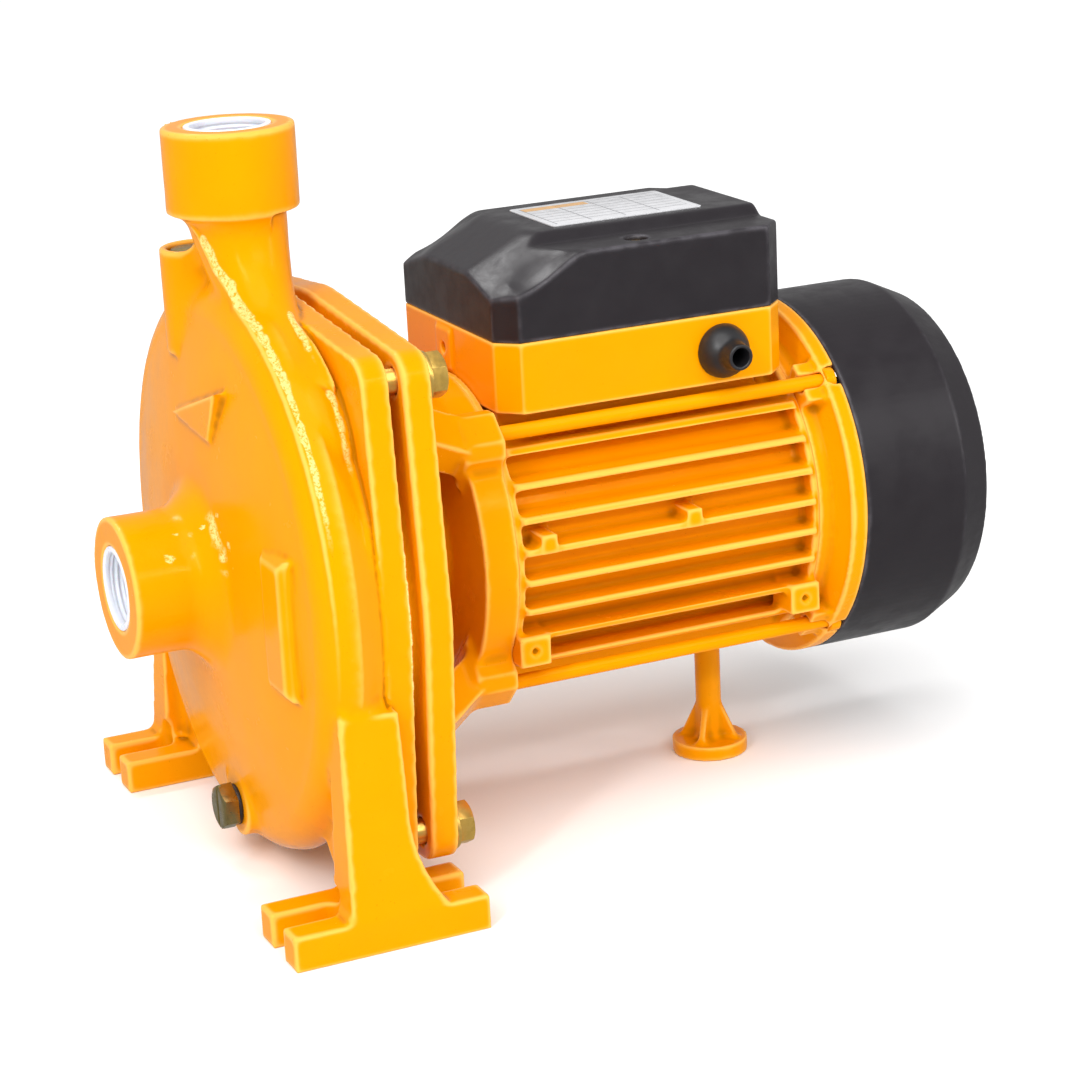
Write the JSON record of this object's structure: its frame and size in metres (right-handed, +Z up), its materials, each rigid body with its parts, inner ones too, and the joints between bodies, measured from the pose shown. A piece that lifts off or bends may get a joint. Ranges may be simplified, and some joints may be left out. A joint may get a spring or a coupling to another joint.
{
  "type": "centrifugal water pump",
  "caption": "Close-coupled centrifugal water pump: painted cast volute with threaded ports and slotted feet, lantern bracket, finned motor, terminal box and fan cover.",
  "frame": {"origin": "on the floor, at the centre of the four foot slots, straight below the discharge port's axis", "axes": "+X along the shaft from the suction port towards the fan, +Y towards the far side from the cable entry, +Z up along the discharge port"},
  "size_m": [0.2977, 0.204, 0.2468],
  "materials": {
    "casing_enamel": "thick glossy orange-yellow enamel over sand-cast iron",
    "motor_enamel": "glossy orange-yellow enamel over die-cast aluminium",
    "cover_plastic": "satin black moulded plastic",
    "port_plastic": "smooth white plastic with a moulded thread",
    "plug_brass": "machined brass, lightly tarnished",
    "impeller_brass": "cast brass, turned faces",
    "rubber": "matt black rubber",
    "zinc_steel": "yellow zinc plated steel",
    "bright_steel": "ground steel",
    "bearing_steel": "polished bearing steel",
    "lamination_steel": "stacked electrical steel",
    "copper_winding": "varnished copper wire",
    "cast_aluminium": "die-cast aluminium",
    "seal_ceramic": "white lapped ceramic",
    "seal_carbon": "lapped carbon in a steel shell",
    "fan_plastic": "black moulded plastic",
    "capacitor_plastic": "pale grey plastic can",
    "terminal_plastic": "off-white plastic",
    "plate_aluminium": "blank silver plate with a plain printed grid"
  },
  "bodies": {
    "root": {"volute_casing": "casing_enamel", "discharge_neck": "casing_enamel", "near_leg": "casing_enamel", "far_leg": "casing_enamel", "motor_bracket": "casing_enamel", "motor_frame": "motor_enamel", "rear_end_shield": "motor_enamel", "terminal_box_base": "motor_enamel", "tie_rods": "motor_enamel", "rear_support_foot": "motor_enamel", "fan_cover": "cover_plastic", "terminal_box_cover": "cover_plastic", "suction_port_lining": "port_plastic", "discharge_port_lining": "port_plastic", "casing_o_ring": "rubber", "seal_seat_cup": "rubber", "box_gasket": "rubber", "cable_grommet": "rubber", "flange_bolts": "zinc_steel", "flange_washers": "zinc_steel", "cover_screws": "zinc_steel", "box_screws": "zinc_steel", "earth_screw": "zinc_steel", "support_foot_stud": "zinc_steel", "terminal_screws": "zinc_steel", "wave_spring": "bright_steel", "capacitor_clamp": "bright_steel", "front_bearing_outer_ring": "bearing_steel", "rear_bearing_outer_ring": "bearing_steel", "stator_core": "lamination_steel", "stator_windings": "copper_winding", "seal_seat": "seal_ceramic", "run_capacitor": "capacitor_plastic", "terminal_block": "terminal_plastic", "nameplate": "plate_aluminium"},
    "rotor": {"shaft": "bright_steel", "impeller": "impeller_brass", "impeller_key": "bright_steel", "impeller_nut": "bright_steel", "seal_head": "seal_carbon", "seal_spring": "bright_steel", "water_slinger": "rubber", "front_bearing_inner_ring": "bearing_steel", "rear_bearing_inner_ring": "bearing_steel", "rotor_core": "lamination_steel", "rotor_end_rings": "cast_aluminium", "cooling_fan": "fan_plastic", "fan_circlip": "bright_steel"},
    "front_cage": {"front_bearing_balls": "bearing_steel", "front_bearing_cage": "bearing_steel"},
    "rear_cage": {"rear_bearing_balls": "bearing_steel", "rear_bearing_cage": "bearing_steel"},
    "drain_plug_body": {"drain_plug": "plug_brass", "drain_plug_seal": "rubber"},
    "priming_plug_body": {"priming_plug": "plug_brass", "priming_plug_seal": "rubber"}
  },
  "joints": [
    {"name": "rotor_spin", "type": "hinge", "parent": "root", "child": "rotor", "pos_m": [0, 0, 0.1], "axis": [1, 0, 0], "continuous": true},
    {"name": "front_cage_spin", "type": "hinge", "parent": "root", "child": "front_cage", "pos_m": [0, 0, 0.1], "axis": [1, 0, 0], "continuous": true},
    {"name": "rear_cage_spin", "type": "hinge", "parent": "root", "child": "rear_cage", "pos_m": [0, 0, 0.1], "axis": [1, 0, 0], "continuous": true},
    {"name": "drain_plug_out", "type": "slide", "parent": "root", "child": "drain_plug_body", "axis": [-1, 0, 0], "range_m": [0, 0.025]},
    {"name": "priming_plug_out", "type": "slide", "parent": "root", "child": "priming_plug_body", "axis": [0, 0, 1], "range_m": [0, 0.012]}
  ],
  "couplings": [
    {"joint": "front_cage_spin", "follows": "rotor_spin", "ratio": 0.383},
    {"joint": "rear_cage_spin", "follows": "rotor_spin", "ratio": 0.384}
  ]
}
